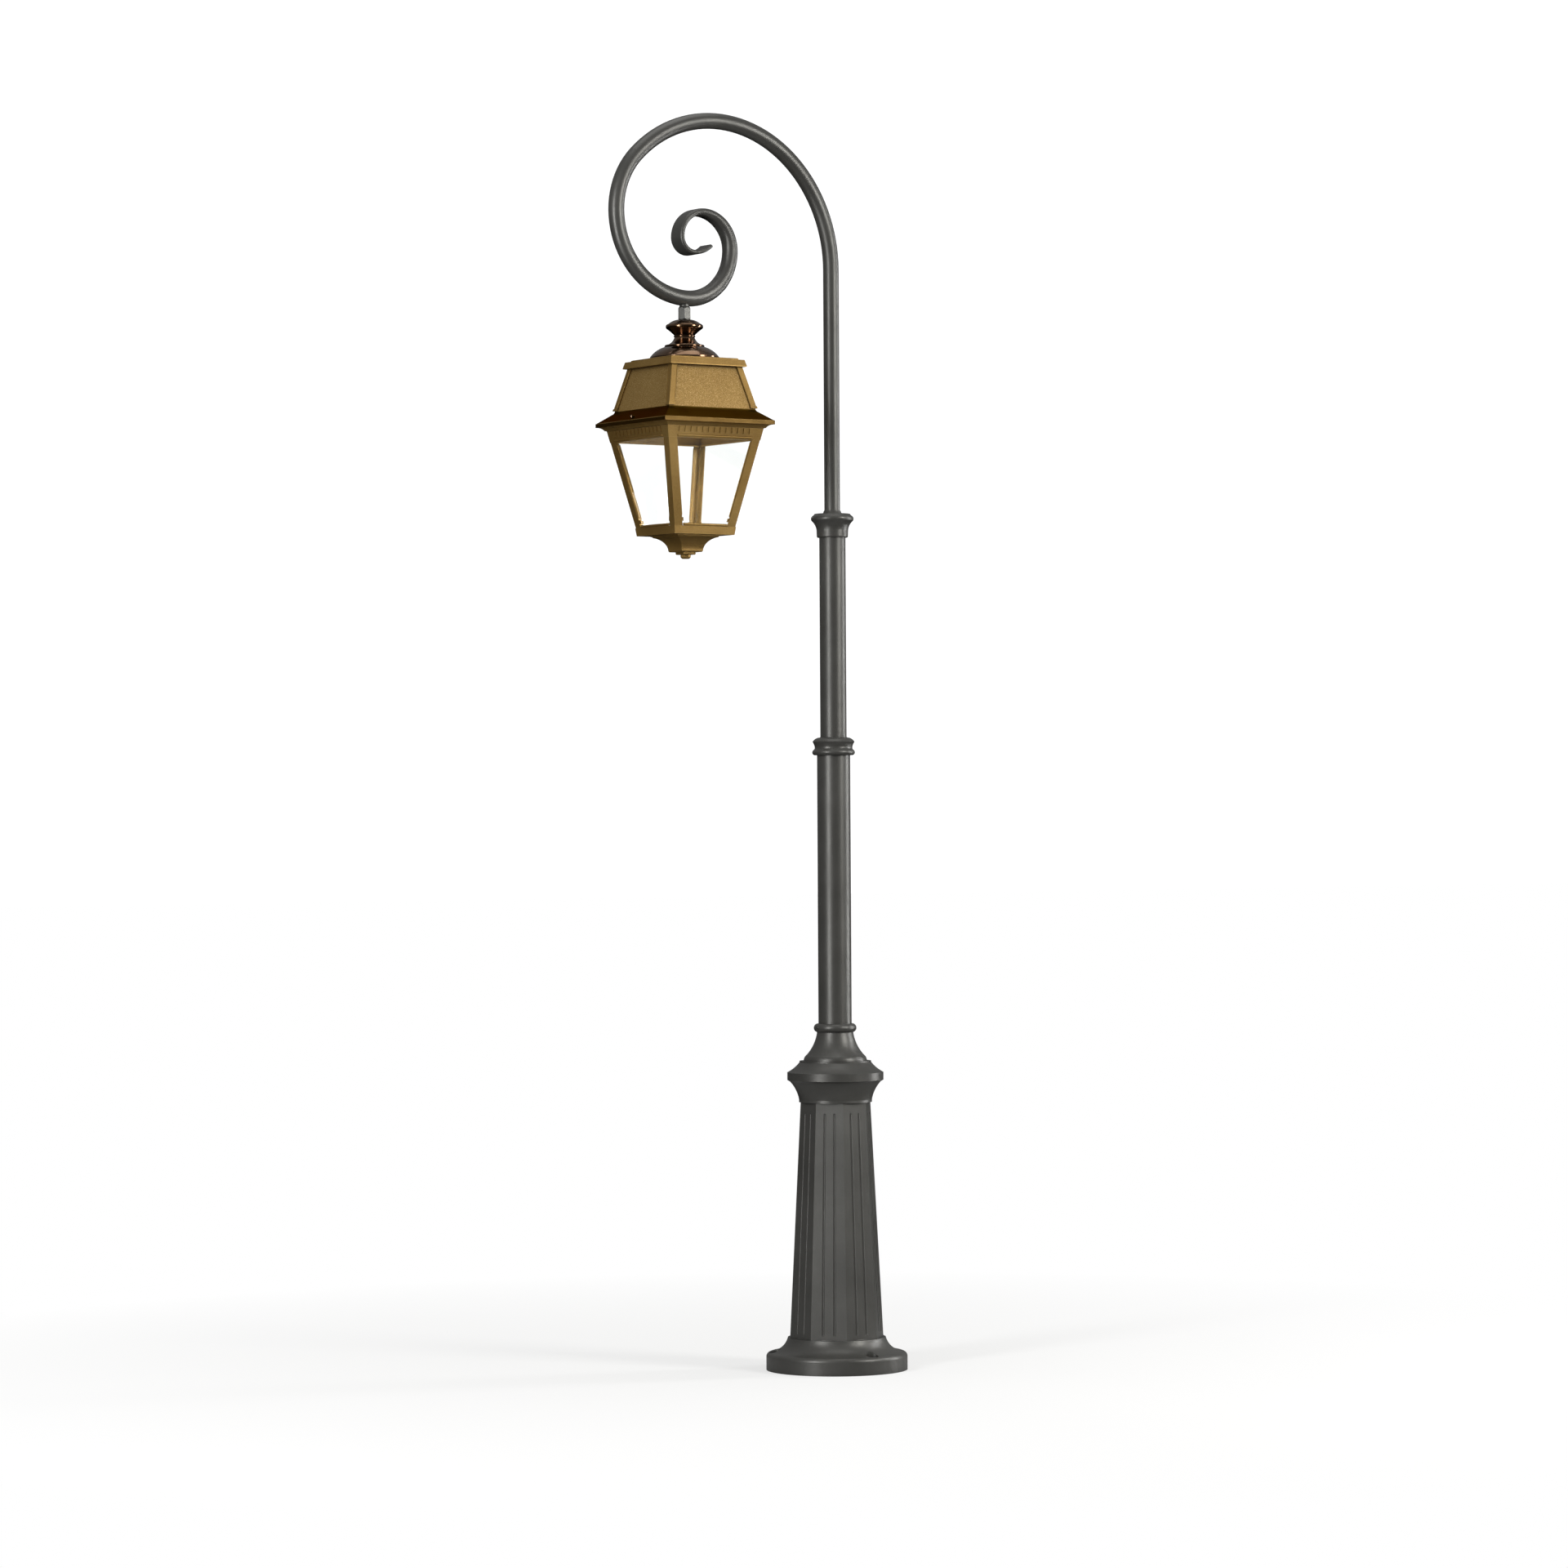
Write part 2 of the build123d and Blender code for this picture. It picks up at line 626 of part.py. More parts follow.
def glass_pane(turn):
    """One flat pane, set in behind the corner posts; the first is on the -X side."""
    rects = []
    for z in (GLASS_BOTTOM_Z, GLASS_TOP_Z):
        face = cage_half(z) - POST_WALL
        width = face - GLASS_T - 0.3
        rects.append((-face, -face + GLASS_T, -width, width))
    return tapered(rects[0], GLASS_BOTTOM_Z, rects[1], GLASS_TOP_Z).rotate(Axis.Z, 90 * turn)


def bead(z, setback):
    """Half-round strip along the -X face with rounded ends."""
    x = -cage_half(z) + setback
    reach = cage_half(z) - POST_LEG - BEAD_R - 1
    return capsule((x, -reach, z), (x, reach, z), BEAD_R)


def glazing_beads_top():
    strips = []
    for strip in side_copies(bead(2111.4, -0.8)):
        strips.append(strip - cornice_ring())
    return group(strips)


def glazing_beads_bottom():
    """Strips that stand on the bottom frame in front of the glass."""
    strips = []
    for turn, strip in enumerate(side_copies(bead(GLASS_BOTTOM_Z + BEAD_R, 0.2))):
        strips.append(strip - glass_pane(turn))
    return group(strips)


def glass_clips():
    """Two clips at the foot of each pane, against the corner posts."""
    clips = []
    z0, z1 = 1924, 1932
    for side in (-1, 1):
        rects = []
        for z in (z0, z1):
            face = cage_half(z) - POST_WALL
            inner = cage_half(z) - POST_LEG - 0.3
            ys = sorted((side * inner, side * (inner - 4)))
            rects.append((-face - 1.5, -face, *ys))
        clips += side_copies(tapered(rects[0], z0, rects[1], z1))
    return group(clips)


def bottom_frame():
    body = squared((79.5, CAGE_BOTTOM_Z), (82, GLASS_BOTTOM_Z))
    body -= squared((72, CAGE_BOTTOM_Z + 3), (72, GLASS_BOTTOM_Z + 1))
    return body - squared((50, CAGE_BOTTOM_Z - 1), (50, CAGE_BOTTOM_Z + 4))


def bottom_pan():
    """Square ogee pan: stepped brim, hollow sides and a plain foot."""
    outer = squared((26.5, PAN_BOTTOM_Z), (28.2, PAN_BOTTOM_Z + 2.5), ((34.2, 1878.8), (49, 1890.3)),
                    (53.5, 1891.5), (54, 1893.3), (PAN_HALF, 1893.8), (PAN_HALF, CAGE_BOTTOM_Z))
    inner = squared((24, PAN_BOTTOM_Z + 3), ((31.4, 1880.8), (48, CAGE_BOTTOM_Z + 1)))
    return outer - inner - cyl(4 + RUNNING, PAN_BOTTOM_Z - 1, PAN_BOTTOM_Z + 5)


def pan_plate():
    return squared((15.2, KNOB_Z[1]), (16.4, 1855), (16.4, PAN_BOTTOM_Z)) - cyl(4 + RUNNING, 1850, 1860)


def pan_knob():
    """Eight-sided knob whose stud clamps the plate and pan to the nut inside."""
    z0, z1 = KNOB_Z
    cone = turned((0, z0), (8.4, z0), (11.8, z0 + 4), (11.8, z1), (0, z1))
    return (polygon(12, 8, z0, z1) & cone) + cyl(4, z1, 1872)


def pan_nut():
    return polygon(7.5, 6, PAN_BOTTOM_Z + 3, 1868) - cyl(4, 1860, 1870)


# ---------------------------------------------------------------- writing
def fixed_nodes():
    """Nodes drawn about the post's axis."""
    screws = [neck_screw(side, LOWER_R + SEAT_GAP, 50.2, 3.0) for side in (-1, 1)]
    return {
        "base_flange": base_flange(),
        "plinth_shaft": plinth_shaft(),
        "plinth_capital": plinth_capital(),
        "plinth_neck": plinth_neck(),
        "neck_set_screws": group(screws),
        "gear_tray": gear_tray(),
        "earth_stud": earth_stud(),
        "junction_box": junction_box(),
        "junction_box_lid": junction_lid(),
        "terminal_strip": terminal_strip(),
        "junction_box_gland": box_gland(),
        "lower_tube": tube(LOWER_R, LOWER_Z),
        "mid_collar": mid_collar(),
        "upper_tube": tube(UPPER_R, UPPER_Z),
        "top_collar": top_collar(),
        "scroll_arm": scroll_arm(),
        "supply_cable": supply_cable(),
    }


def lantern_nodes():
    """Nodes drawn about the lantern's axis."""
    nodes = {
        "hanger_coupling": hanger_coupling(),
        "hanger_stem": hanger_stem(),
        "stem_nut": stem_nut(),
        "stem_washer": stem_washer(),
        "finial_upper": finial_upper(),
        "finial_lower": finial_lower(),
        "cap_plate": cap_plate(),
        "cap_band": cap_band(),
        "roof_shell": roof_shell(),
        "roof_hip_strips": roof_hip_strips(),
        "eave_skirt": eave_skirt(),
        "skirt_soffit": skirt_soffit(),
        "soffit_plate": soffit_plate(),
        "led_board": led_board(),
        "led_chips": led_chips(),
        "led_lens": led_lens(),
        "board_screws": board_screws(),
        "driver": driver(),
        "driver_lead": driver_lead(),
        "lamp_connector": lamp_connector(),
        "roof_hinge_knuckles": roof_knuckles(),
        "cage_hinge_pin": hinge_pin(),
        "cage_hinge_knuckle": cage_knuckle(),
        "closing_screw": closing_screw(),
        "closing_nut": closing_nut(),
        "cornice": cornice(),
        "cage_gasket": cage_gasket(),
        "catch_tab": catch_tab(),
        "corner_posts": corner_posts(),
        "glazing_beads_top": glazing_beads_top(),
        "glazing_beads_bottom": glazing_beads_bottom(),
        "glass_clips": glass_clips(),
        "bottom_frame": bottom_frame(),
        "bottom_pan": bottom_pan(),
        "pan_plate": pan_plate(),
        "pan_knob": pan_knob(),
        "pan_nut": pan_nut(),
    }
    for turn, side in enumerate(("street", "left", "post", "right")):
        nodes["glass_pane_" + side] = glass_pane(turn)
    return nodes


def main():
    os.makedirs("parts", exist_ok=True)
    nodes = fixed_nodes()
    for name, body in lantern_nodes().items():
        nodes[name] = Pos(LANTERN_X, 0, 0) * body
    for name, body in nodes.items():
        export_step(body, f"parts/{name}.step")


main()
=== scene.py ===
"""Street lamp post with a scroll arm and hanging lantern: looks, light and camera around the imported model."""
import json
import math
import random

import bmesh
import bpy
from mathutils import Matrix, Vector


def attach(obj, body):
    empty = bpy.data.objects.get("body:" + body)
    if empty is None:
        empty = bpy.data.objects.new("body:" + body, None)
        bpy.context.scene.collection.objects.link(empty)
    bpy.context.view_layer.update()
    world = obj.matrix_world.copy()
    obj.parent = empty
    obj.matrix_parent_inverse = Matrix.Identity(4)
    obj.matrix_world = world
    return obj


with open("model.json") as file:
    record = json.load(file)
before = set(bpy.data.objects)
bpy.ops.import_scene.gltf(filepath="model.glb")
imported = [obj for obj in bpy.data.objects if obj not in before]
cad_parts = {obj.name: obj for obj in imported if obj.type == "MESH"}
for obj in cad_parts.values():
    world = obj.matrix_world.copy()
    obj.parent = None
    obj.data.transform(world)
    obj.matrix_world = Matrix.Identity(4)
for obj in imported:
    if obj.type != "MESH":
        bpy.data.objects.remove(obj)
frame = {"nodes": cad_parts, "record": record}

random.seed(7)
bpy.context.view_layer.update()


# ---------------------------------------------------------------- node helpers
class Shader:
    """One material's node tree, built a node at a time."""

    def __init__(self, name):
        self.material = bpy.data.materials.new(name)
        self.material.use_nodes = True
        self.tree = self.material.node_tree
        self.tree.nodes.clear()
        self.output = self.tree.nodes.new("ShaderNodeOutputMaterial")
        self.bsdf = self.tree.nodes.new("ShaderNodeBsdfPrincipled")
        self.link(self.bsdf.outputs["BSDF"], self.output.inputs["Surface"])
        self.coords = self.tree.nodes.new("ShaderNodeTexCoord").outputs["Object"]

    def link(self, source, target):
        self.tree.links.new(source, target)

    def noise(self, scale, detail=3.0, rough=0.55):
        node = self.tree.nodes.new("ShaderNodeTexNoise")
        node.inputs["Scale"].default_value = scale
        node.inputs["Detail"].default_value = detail
        node.inputs["Roughness"].default_value = rough
        self.link(self.coords, node.inputs["Vector"])
        return node.outputs["Fac"]

    def cells(self, scale):
        node = self.tree.nodes.new("ShaderNodeTexVoronoi")
        node.inputs["Scale"].default_value = scale
        self.link(self.coords, node.inputs["Vector"])
        return node.outputs["Distance"]

    def ramp(self, factor, stops):
        """Colour ramp from (position, colour) stops; a colour may be one grey value."""
        node = self.tree.nodes.new("ShaderNodeValToRGB")
        elements = node.color_ramp.elements
        while len(elements) < len(stops):
            elements.new(0.5)
        for element, (position, colour) in zip(elements, stops):
            shade = colour if isinstance(colour, tuple) else (colour,) * 3
            element.position = position
            element.color = (*shade, 1.0)
        self.link(factor, node.inputs["Fac"])
        return node.outputs["Color"]

    def mix(self, factor, first, second, blend="MIX"):
        node = self.tree.nodes.new("ShaderNodeMix")
        node.data_type = "RGBA"
        node.blend_type = blend
        for socket, value in zip((node.inputs[0], node.inputs[6], node.inputs[7]), (factor, first, second)):
            self.feed(socket, value)
        return node.outputs[2]

    def feed(self, socket, value):
        if isinstance(value, bpy.types.NodeSocket):
            self.link(value, socket)
        elif isinstance(value, tuple):
            socket.default_value = (*value, 1.0)
        else:
            socket.default_value = value

    def maths(self, operation, first, second=0.0):
        node = self.tree.nodes.new("ShaderNodeMath")
        node.operation = operation
        self.feed(node.inputs[0], first)
        self.feed(node.inputs[1], second)
        return node.outputs[0]

    def edge_wear(self, radius, low, high):
        """Grey mask that is bright on convex edges."""
        bevel = self.tree.nodes.new("ShaderNodeBevel")
        bevel.samples = 4
        bevel.inputs["Radius"].default_value = radius
        geometry = self.tree.nodes.new("ShaderNodeNewGeometry")
        dot = self.tree.nodes.new("ShaderNodeVectorMath")
        dot.operation = "DOT_PRODUCT"
        self.link(bevel.outputs["Normal"], dot.inputs[0])
        self.link(geometry.outputs["Normal"], dot.inputs[1])
        away = self.maths("SUBTRACT", 1.0, dot.outputs["Value"])
        return self.ramp(away, [(low, 0.0), (high, 1.0)])

    def occlusion(self, distance, low=0.35, high=0.9):
        """Grey mask that is dark in corners and under mouldings, where shade falls; it paints shade into a
        colour.
        """
        node = self.tree.nodes.new("ShaderNodeAmbientOcclusion")
        node.samples = 6
        node.inputs["Distance"].default_value = distance
        return self.ramp(node.outputs["AO"], [(low, 0.0), (high, 1.0)])

    def bump(self, heights):
        """Stack of (height, strength, distance) bumps; the last one wins the shader."""
        normal = None
        for height, strength, distance in heights:
            node = self.tree.nodes.new("ShaderNodeBump")
            node.inputs["Strength"].default_value = strength
            node.inputs["Distance"].default_value = distance
            self.link(height, node.inputs["Height"])
            if normal is not None:
                self.link(normal, node.inputs["Normal"])
            normal = node.outputs["Normal"]
        self.link(normal, self.bsdf.inputs["Normal"])

    def set(self, **values):
        for name, value in values.items():
            self.feed(self.bsdf.inputs[name.replace("_", " ")], value)
        return self


# ---------------------------------------------------------------- materials
def powder_coat(name, dark, base, light, grain, metallic=0.0, rough=(0.42, 0.6), sand=900.0, depth=0.00025,
                tint=(1.0, 1.0, 1.0)):
    """Textured powder coat: mottled colour, fine sand bump, painted shade in the hollows and rubbed edges."""
    s = Shader(name)
    mottle = s.ramp(s.noise(6.0, 5.0), [(0.32, dark), (0.5, base), (0.7, light)])
    speck = s.ramp(s.noise(sand, 2.0, 0.7), [(0.35, dark), (0.62, base), (0.75, light)])
    colour = s.mix(grain, mottle, speck)
    # painted shade: the colour falls to 0.55 of the base where ambient occlusion finds a hollow or corner
    hollow_shade = s.occlusion(0.02, 0.25, 0.8)
    colour = s.mix(hollow_shade, tuple(0.55 * channel for channel in base), colour)
    rubbed = s.maths("MULTIPLY", s.edge_wear(0.0012, 0.05, 0.4), 0.35)
    colour = s.mix(rubbed, colour, tuple(min(1.0, 1.5 * channel) for channel in light))
    s.feed(s.bsdf.inputs["Base Color"], colour)
    sheen = s.ramp(s.noise(14.0, 4.0), [(0.3, rough[0]), (0.7, rough[1])])
    s.feed(s.bsdf.inputs["Roughness"], sheen)
    s.set(Metallic=metallic, Specular_IOR_Level=0.5, Specular_Tint=tint)
    s.bump([(s.noise(60.0, 3.0), 0.05, 0.0006), (s.noise(sand, 2.0, 0.7), 0.5, depth),
            (s.cells(sand * 0.6), 0.2, depth)])
    return s.material


def satin_skirt(name):
    """Dark brown satin finish of the eave, worn to bronze on the upright rim."""
    s = Shader(name)
    tone = s.ramp(s.noise(9.0, 4.0), [(0.3, (0.054, 0.029, 0.0042)), (0.7, (0.082, 0.046, 0.0078))])
    geometry = s.tree.nodes.new("ShaderNodeNewGeometry")
    split = s.tree.nodes.new("ShaderNodeSeparateXYZ")
    s.link(geometry.outputs["Normal"], split.inputs[0])
    upright = s.ramp(s.maths("ABSOLUTE", split.outputs["Z"]), [(0.15, 1.0), (0.35, 0.0)])
    tone = s.mix(upright, tone, (0.066, 0.040, 0.013))
    rubbed = s.maths("MULTIPLY", s.edge_wear(0.0015, 0.04, 0.3), 0.6)
    s.feed(s.bsdf.inputs["Base Color"], s.mix(rubbed, tone, (0.14, 0.085, 0.030)))
    s.feed(s.bsdf.inputs["Roughness"], s.ramp(s.noise(30.0, 4.0), [(0.3, 0.38), (0.7, 0.48)]))
    s.set(Metallic=1.0, Specular_Tint=(0.50, 0.30, 0.06))
    s.bump([(s.noise(700.0, 2.0), 0.25, 0.0002)])
    return s.material


def polished_copper(name):
    """Turned and lacquered copper with fine lathe rings."""
    s = Shader(name)
    tone = s.ramp(s.noise(16.0, 5.0, 0.6), [(0.3, (0.085, 0.044, 0.021)), (0.55, (0.19, 0.112, 0.062)),
                                            (0.75, (0.34, 0.235, 0.150))])
    # painted shade: near-black in recesses and under the mouldings, from ambient occlusion
    recess_shade = s.occlusion(0.012, 0.3, 0.85)
    s.feed(s.bsdf.inputs["Base Color"], s.mix(recess_shade, (0.03, 0.013, 0.006), tone))
    s.feed(s.bsdf.inputs["Roughness"], s.ramp(s.noise(40.0, 4.0), [(0.35, 0.13), (0.7, 0.24)]))
    s.set(Metallic=1.0, Coat_Weight=0.3, Coat_Roughness=0.08)
    rings = s.tree.nodes.new("ShaderNodeTexWave")
    rings.bands_direction = "Z"
    rings.inputs["Scale"].default_value = 320.0
    rings.inputs["Distortion"].default_value = 0.6
    s.link(s.coords, rings.inputs["Vector"])
    s.bump([(rings.outputs["Fac"], 0.08, 0.0001), (s.noise(160.0, 3.0), 0.06, 0.0003)])
    return s.material


def sanded_panel(name):
    """Roof sheet: the lantern's paint with coarse bright and dark grains, and painted shade in its corners."""
    s = Shader(name)
    base = s.ramp(s.noise(7.0, 5.0), [(0.3, (0.210, 0.120, 0.030)), (0.7, (0.300, 0.188, 0.058))])
    grain = s.ramp(s.noise(560.0, 3.0, 0.7), [(0.34, (0.085, 0.048, 0.012)), (0.48, (0.22, 0.132, 0.038)),
                                               (0.58, (0.33, 0.215, 0.074)), (0.70, (0.64, 0.48, 0.24))])
    colour = s.mix(0.6, base, grain)
    # painted shade: near-black in the corners and beside the hip strips, from ambient occlusion
    seam_shade = s.occlusion(0.016, 0.35, 0.8)
    s.feed(s.bsdf.inputs["Base Color"], s.mix(seam_shade, (0.028, 0.014, 0.004), colour))
    s.feed(s.bsdf.inputs["Roughness"], s.ramp(s.noise(560.0, 3.0, 0.7), [(0.35, 0.62), (0.7, 0.34)]))
    s.set(Metallic=0.55, Specular_Tint=(0.96, 0.84, 0.62))
    s.bump([(s.noise(560.0, 3.0, 0.7), 0.55, 0.0006), (s.noise(60.0, 3.0), 0.15, 0.0008)])
    return s.material


def bare_metal(name, base, rough, metallic=1.0):
    """Machined or zinc-plated metal with faint scratches."""
    s = Shader(name)
    tone = s.ramp(s.noise(25.0, 5.0), [(0.3, tuple(0.75 * c for c in base)), (0.7, base)])
    s.feed(s.bsdf.inputs["Base Color"], tone)
    s.feed(s.bsdf.inputs["Roughness"], s.ramp(s.noise(50.0, 4.0), [(0.3, rough), (0.7, rough + 0.15)]))
    s.set(Metallic=metallic)
    s.bump([(s.noise(260.0, 4.0), 0.15, 0.0003)])
    return s.material


def moulded_plastic(name, base, rough=0.45, glow=0.0, bump=0.0003):
    """Moulded plastic or rubber with a fine spark-eroded grain."""
    s = Shader(name)
    tone = s.ramp(s.noise(18.0, 4.0), [(0.3, tuple(0.85 * c for c in base)), (0.7, base)])
    s.feed(s.bsdf.inputs["Base Color"], tone)
    s.feed(s.bsdf.inputs["Roughness"], s.ramp(s.noise(70.0, 3.0), [(0.3, rough - 0.06), (0.7, rough + 0.1)]))
    s.bump([(s.noise(900.0, 2.0), 0.3, bump)])
    if glow:
        s.set(Emission_Color=base, Emission_Strength=glow)
    return s.material


def clear_glass(name):
    """Float glass with a faint green cast."""
    s = Shader(name)
    cast = s.ramp(s.noise(4.0, 2.0), [(0.3, (0.975, 0.99, 0.985)), (0.7, (0.99, 1.0, 0.995))])
    s.feed(s.bsdf.inputs["Base Color"], cast)
    s.feed(s.bsdf.inputs["Roughness"], s.ramp(s.noise(30.0, 3.0), [(0.4, 0.0), (0.8, 0.02)]))
    s.set(Transmission_Weight=1.0, IOR=1.3)
    s.bump([(s.noise(5.0, 2.0), 0.03, 0.0003)])
    return s.material


def make_materials():
    return {
        "post_paint": powder_coat("post_paint", (0.054, 0.053, 0.049), (0.076, 0.075, 0.069),
                                  (0.106, 0.105, 0.098), 0.5, metallic=0.4, rough=(0.33, 0.41)),
        "lantern_paint": powder_coat("lantern_paint", (0.135, 0.075, 0.0175), (0.235, 0.142, 0.0400),
                                     (0.370, 0.245, 0.0860), 0.6, metallic=0.6, rough=(0.38, 0.50),
                                     sand=620.0, tint=(0.96, 0.82, 0.58)),
        "roof_panel": sanded_panel("roof_panel"),
        "skirt_paint": satin_skirt("skirt_paint"),
        "copper": polished_copper("copper"),
        "inner_metal": bare_metal("inner_metal", (0.55, 0.54, 0.50), 0.42),
        "steel": bare_metal("steel", (0.50, 0.50, 0.49), 0.28),
        "glazing": clear_glass("glazing"),
        "diffuser": moulded_plastic("diffuser", (0.80, 0.80, 0.76), 0.25),
        "box_plastic": moulded_plastic("box_plastic", (0.36, 0.37, 0.37), 0.5),
        "cable_sheath": moulded_plastic("cable_sheath", (0.02, 0.02, 0.02), 0.55),
        "gasket": moulded_plastic("gasket", (0.03, 0.03, 0.03), 0.8, bump=0.0006),
        "board": moulded_plastic("board", (0.75, 0.76, 0.74), 0.4),
        "chips": moulded_plastic("chips", (0.80, 0.60, 0.16), 0.3),
    }


def paint_nodes(materials):
    """Give every carried-over node the material of its record slot; the roof sheet has a coarser one."""
    slots = {row["node"]: row["material_slot"] for row in frame["record"]["subparts"]}
    for name, node in frame["nodes"].items():
        finish = materials["roof_panel" if name == "roof_shell" else slots[name]]
        node.data.materials.clear()
        node.data.materials.append(finish)
        if name.startswith("glass_pane"):
            node.visible_shadow = False


materials = make_materials()
paint_nodes(materials)


# ---------------------------------------------------------------- rolled and welded details
LANTERN_X = -0.400
TAU = 2.0 * math.pi
UP_AXIS = Vector((0.0, 0.0, 1.0))
# half widths of the lantern's square outline: a reference, its height and its slope
CAGE_HALF = (0.121, 2.106, 0.2094)
ROOF_HALF = (0.1143, 2.177, 0.249)


def resample(path, step, closed):
    """Points along a path at an even spacing."""
    ends = list(zip(path, path[1:] + path[:1])) if closed else list(zip(path, path[1:]))
    points = []
    for start, end in ends:
        count = max(1, round((end - start).length / step))
        points += [start.lerp(end, index / count) for index in range(count)]
    if not closed:
        points.append(path[-1].copy())
    return points


def bead(name, paths, radius, body, slot, step=0.004, ripple=0.0, pitch=0.0, closed=False, sides=10):
    """Round bead laid along each path: rippled like a weld, or smooth with rounded ends."""
    mesh = bmesh.new()
    for path in paths:
        points = resample(path, step, closed)
        last = len(points) - 1
        rings = []
        travelled = 0.0
        for index, point in enumerate(points):
            before = points[index - 1] if closed or index else point
            after = points[(index + 1) % len(points)] if closed or index < last else point
            along = (after - before).normalized()
            travelled += step
            across = along.cross(UP_AXIS if abs(along.z) < 0.9 else Vector((1.0, 0.0, 0.0))).normalized()
            lift = across.cross(along)
            reach = radius * (1.0 + ripple * math.sin(TAU * travelled / pitch)) if pitch else radius
            reach *= 1.0 + random.uniform(-0.02, 0.02)
            if not closed:
                inward = min(index, last - index) * step / radius
                reach *= math.sqrt(max(0.04, 1.0 - max(0.0, 1.0 - inward) ** 2))
            rings.append([mesh.verts.new(point + (across * math.cos(TAU * turn / sides)
                                                  + lift * math.sin(TAU * turn / sides)) * reach)
                          for turn in range(sides)])
        pairs = list(zip(rings, rings[1:] + rings[:1])) if closed else list(zip(rings, rings[1:]))
        for low, high in pairs:
            for turn in range(sides):
                beside = (turn + 1) % sides
                mesh.faces.new((low[turn], low[beside], high[beside], high[turn]))
        if not closed:
            mesh.faces.new(rings[0][::-1])
            mesh.faces.new(rings[-1])
    bmesh.ops.recalc_face_normals(mesh, faces=mesh.faces)
    data = bpy.data.meshes.new(name)
    mesh.to_mesh(data)
    mesh.free()
    for face in data.polygons:
        face.use_smooth = True
    data.materials.append(materials[slot])
    piece = bpy.data.objects.new(name, data)
    bpy.context.collection.objects.link(piece)
    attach(piece, body)


def ring_path(radius, z, count=72):
    """Circle of points about the post's axis."""
    return [Vector((radius * math.cos(TAU * i / count), radius * math.sin(TAU * i / count), z))
            for i in range(count)]


def on_side(turn, out, along, z):
    """Point on one of the lantern's four sides: out from its axis, along the side, at a height."""
    angle = math.pi / 2 * turn
    x, y = -out, along
    turned_x = x * math.cos(angle) - y * math.sin(angle)
    turned_y = x * math.sin(angle) + y * math.cos(angle)
    return Vector((LANTERN_X + turned_x, turned_y, z))


def cage_half(z):
    half, height, slope = CAGE_HALF
    return half - (height - z) * slope


def roof_half(z):
    half, height, slope = ROOF_HALF
    return half - (z - height) * slope


def make_leg_beads():
    """Glazing strips that hold the panes against the four corner posts."""
    paths = []
    for turn in range(4):
        for side in (-1, 1):
            paths.append([on_side(turn, cage_half(z) - 0.0026, side * (cage_half(z) - 0.0222), z)
                          for z in (1.9345, 2.1055)])
    bead("leg_beads", paths, 0.0014, "cage", "lantern_paint")


def make_hip_beads():
    """Rolled edges of the strips over the roof's four hips."""
    paths = []
    for turn in range(4):
        for side in (-1, 1):
            paths.append([on_side(turn, roof_half(z) + 0.0028, side * (roof_half(z) - 0.0112), z)
                          for z in (2.1845, 2.2705)])
    bead("hip_beads", paths, 0.0010, "lantern_head", "lantern_paint")


def make_eave_roll():
    """Rolled edge where the sloping eave turns down into its rim."""
    half, z = 0.1449, 2.1503
    signs = ((1, 1), (-1, 1), (-1, -1), (1, -1))
    corners = [Vector((LANTERN_X + sx * half, sy * half, z)) for sx, sy in signs]
    bead("eave_roll", [corners], 0.0009, "lantern_head", "lantern_paint", closed=True)


def make_welds():
    """Ground-back welds at the foot, the collars and the lantern's boss."""
    bead("foot_weld", [ring_path(0.1005, 0.0745)], 0.0016, "base", "post_paint", ripple=0.18, pitch=0.006,
         closed=True, step=0.003)
    bead("mid_weld", [ring_path(0.0305, 1.4440)], 0.0012, "post", "post_paint", ripple=0.15, pitch=0.005,
         closed=True, step=0.002)
    bead("arm_weld", [ring_path(0.0184, 1.9622)], 0.0012, "post", "post_paint", ripple=0.15, pitch=0.005,
         closed=True, step=0.002)


make_leg_beads()
make_hip_beads()
make_eave_roll()
make_welds()


# ---------------------------------------------------------------- camera, light, floor
AZIMUTH = math.radians(-33.955)
BACK = Vector((math.sin(AZIMUTH), -math.cos(AZIMUTH), 0.0))
RIGHT = Vector((math.cos(AZIMUTH), math.sin(AZIMUTH), 0.0))
UP = Vector((0.0, 0.0, 1.0))


def make_camera():
    """Long lens at chest height, turned so that the lantern's corner faces it."""
    distance = 11.856
    height = 1.264
    sideways = -0.1138
    pitch = math.radians(0.36)
    roll = math.radians(-0.32)
    data = bpy.data.cameras.new("camera")
    data.sensor_width = 36.0
    data.lens = 118.95
    data.clip_end = 120.0
    camera = bpy.data.objects.new("camera", data)
    bpy.context.collection.objects.link(camera)
    place = BACK * distance + RIGHT * sideways + UP * height
    axes = Matrix((RIGHT, UP, BACK)).transposed().to_4x4()
    turn = Matrix.Rotation(pitch, 4, "X") @ Matrix.Rotation(roll, 4, "Z")
    camera.matrix_world = Matrix.Translation(place) @ axes @ turn
    bpy.context.scene.camera = camera


def area_light(name, place, target, size, power, colour=(1.0, 1.0, 1.0)):
    """Rectangular light that faces a target."""
    data = bpy.data.lights.new(name, "AREA")
    data.shape = "RECTANGLE"
    data.size, data.size_y = size
    data.energy = power
    data.color = colour
    light = bpy.data.objects.new(name, data)
    bpy.context.collection.objects.link(light)
    light.location = place
    light.rotation_euler = (Vector(target) - Vector(place)).to_track_quat("-Z", "Y").to_euler()


